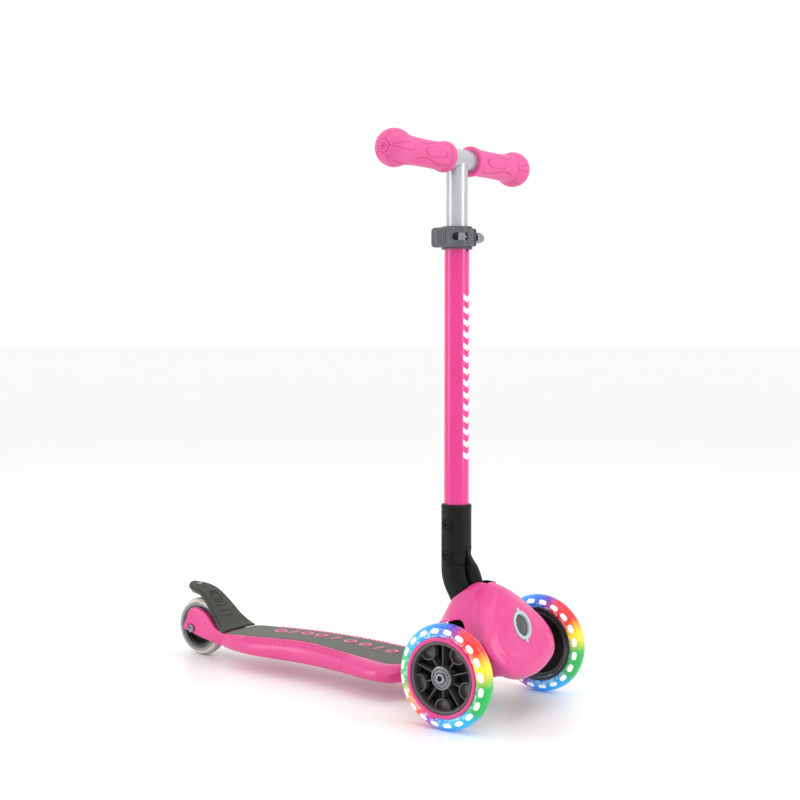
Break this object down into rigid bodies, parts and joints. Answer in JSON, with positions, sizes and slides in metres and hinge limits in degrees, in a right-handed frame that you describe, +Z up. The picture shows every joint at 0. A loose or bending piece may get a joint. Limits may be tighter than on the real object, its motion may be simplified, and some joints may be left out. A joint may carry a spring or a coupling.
{
  "type": "kick scooter",
  "caption": "Folding children's kick scooter with two light-up front wheels that steer by leaning, a height-adjustable T-bar and a rear fender brake.",
  "frame": {"origin": "on the floor under the middle of the scooter's bounding box", "axes": "+X forwards, +Y to the rider's left, +Z up, with the stem upright and the bar at its lowest"},
  "size_m": [0.5796, 0.2986, 0.676],
  "materials": {
    "pink_plastic": "glossy moulded plastic",
    "pink_rubber": "soft satin thermoplastic rubber",
    "pink_paint": "satin powder coat",
    "grip_mat": "fine moulded grid, matt",
    "fender_plastic": "matt moulded plastic",
    "black_plastic": "fine grained black plastic",
    "dark_grey_plastic": "satin moulded plastic",
    "clamp_grey": "satin moulded plastic",
    "light_grey_plastic": "satin moulded plastic",
    "smoky_plastic": "smoky glossy plastic",
    "clear_tyre": "clear cast polyurethane lit from inside",
    "smoky_tyre": "clear cast polyurethane with a smoky tint",
    "bumper_rubber": "elastomer",
    "white_aluminium": "anodised, satin",
    "spring_steel": "bare wire",
    "chrome": "polished",
    "black_screw": "black zinc",
    "steel": "ground"
  },
  "bodies": {
    "deck": {"deck_board": "pink_plastic", "deck_mat": "grip_mat", "cowl": "pink_plastic", "nose_chassis": "black_plastic", "kingpin": "steel", "steering_bumper_left": "bumper_rubber", "steering_bumper_right": "bumper_rubber", "lock_ring": "light_grey_plastic", "fold_pin": "steel", "rear_axle_bolt": "chrome", "rear_axle_nut": "chrome", "brake_pin": "steel", "brake_spring": "spring_steel"},
    "truck": {"truck_beam": "black_plastic", "left_axle_bolt": "chrome", "right_axle_bolt": "chrome"},
    "left_wheel": {"left_tyre": "clear_tyre", "left_wheel_core": "dark_grey_plastic", "left_trim_ring": "pink_plastic", "left_light_ring": "smoky_plastic", "left_bearing_outer": "steel", "left_bearing_inner": "steel", "left_wheel_spacer": "steel"},
    "right_wheel": {"right_tyre": "clear_tyre", "right_wheel_core": "dark_grey_plastic", "right_trim_ring": "pink_plastic", "right_light_ring": "smoky_plastic", "right_bearing_outer": "steel", "right_bearing_inner": "steel", "right_wheel_spacer": "steel"},
    "rear_wheel": {"rear_tyre": "smoky_tyre", "rear_wheel_core": "black_plastic", "rear_bearing_left": "steel", "rear_bearing_right": "steel", "rear_wheel_spacer": "steel"},
    "brake": {"fender": "fender_plastic", "brake_pad": "steel"},
    "stem": {"neck": "black_plastic", "neck_bolt_upper": "black_screw", "neck_bolt_lower": "black_screw", "neck_nut_upper": "steel", "neck_nut_lower": "steel", "trigger_pin": "steel", "stem_tube": "pink_paint", "clamp_collar": "clamp_grey", "clamp_bolt": "chrome", "clamp_nut": "chrome"},
    "fold_trigger": {"fold_trigger": "black_plastic"},
    "clamp_lever": {"clamp_lever": "clamp_grey"},
    "handlebar": {"slider_tube": "white_aluminium", "cross_tube": "white_aluminium", "slider_plug": "black_plastic", "left_grip": "pink_rubber", "right_grip": "pink_rubber"},
    "lock_button": {"lock_button": "dark_grey_plastic"}
  },
  "joints": [
    {"name": "steer", "type": "hinge", "parent": "deck", "child": "truck", "pos_m": [0.22125, 0, 0.08], "axis": [0.5736, 0, 0.8192], "range_deg": [-12, 12], "stiffness_Nm_per_rad": 60},
    {"name": "left_wheel_spin", "type": "hinge", "parent": "truck", "child": "left_wheel", "pos_m": [0.22925, 0.10635, 0.0605], "axis": [0, 1, 0], "continuous": true},
    {"name": "right_wheel_spin", "type": "hinge", "parent": "truck", "child": "right_wheel", "pos_m": [0.22925, -0.10635, 0.0605], "axis": [0, 1, 0], "continuous": true},
    {"name": "rear_wheel_spin", "type": "hinge", "parent": "deck", "child": "rear_wheel", "pos_m": [-0.24975, 0, 0.04], "axis": [0, 1, 0], "continuous": true},
    {"name": "brake_press", "type": "hinge", "parent": "deck", "child": "brake", "pos_m": [-0.19575, 0, 0.041], "axis": [0, -1, 0], "range_deg": [0, 3], "stiffness_Nm_per_rad": 8, "springref_deg": -5.73},
    {"name": "stem_fold", "type": "hinge", "parent": "deck", "child": "stem", "pos_m": [0.18925, 0, 0.106], "axis": [0, -1, 0], "range_deg": [0, 80]},
    {"name": "trigger_pull", "type": "hinge", "parent": "stem", "child": "fold_trigger", "pos_m": [0.18625, 0, 0.1695], "axis": [0, 1, 0], "range_deg": [0, 12], "stiffness_Nm_per_rad": 0.3, "springref_deg": -5.73},
    {"name": "clamp_open", "type": "hinge", "parent": "stem", "child": "clamp_lever", "pos_m": [0.19325, -0.022, 0.5605], "axis": [0, 0, 1], "range_deg": [0, 150]},
    {"name": "bar_height", "type": "slide", "parent": "stem", "child": "handlebar", "axis": [0, 0, 1], "range_m": [0, 0.138]},
    {"name": "lock_push", "type": "slide", "parent": "deck", "child": "lock_button", "axis": [-0.9354, 0, -0.3535], "range_m": [0, 0.004], "stiffness_N_per_m": 300, "springref_m": -0.003}
  ]
}
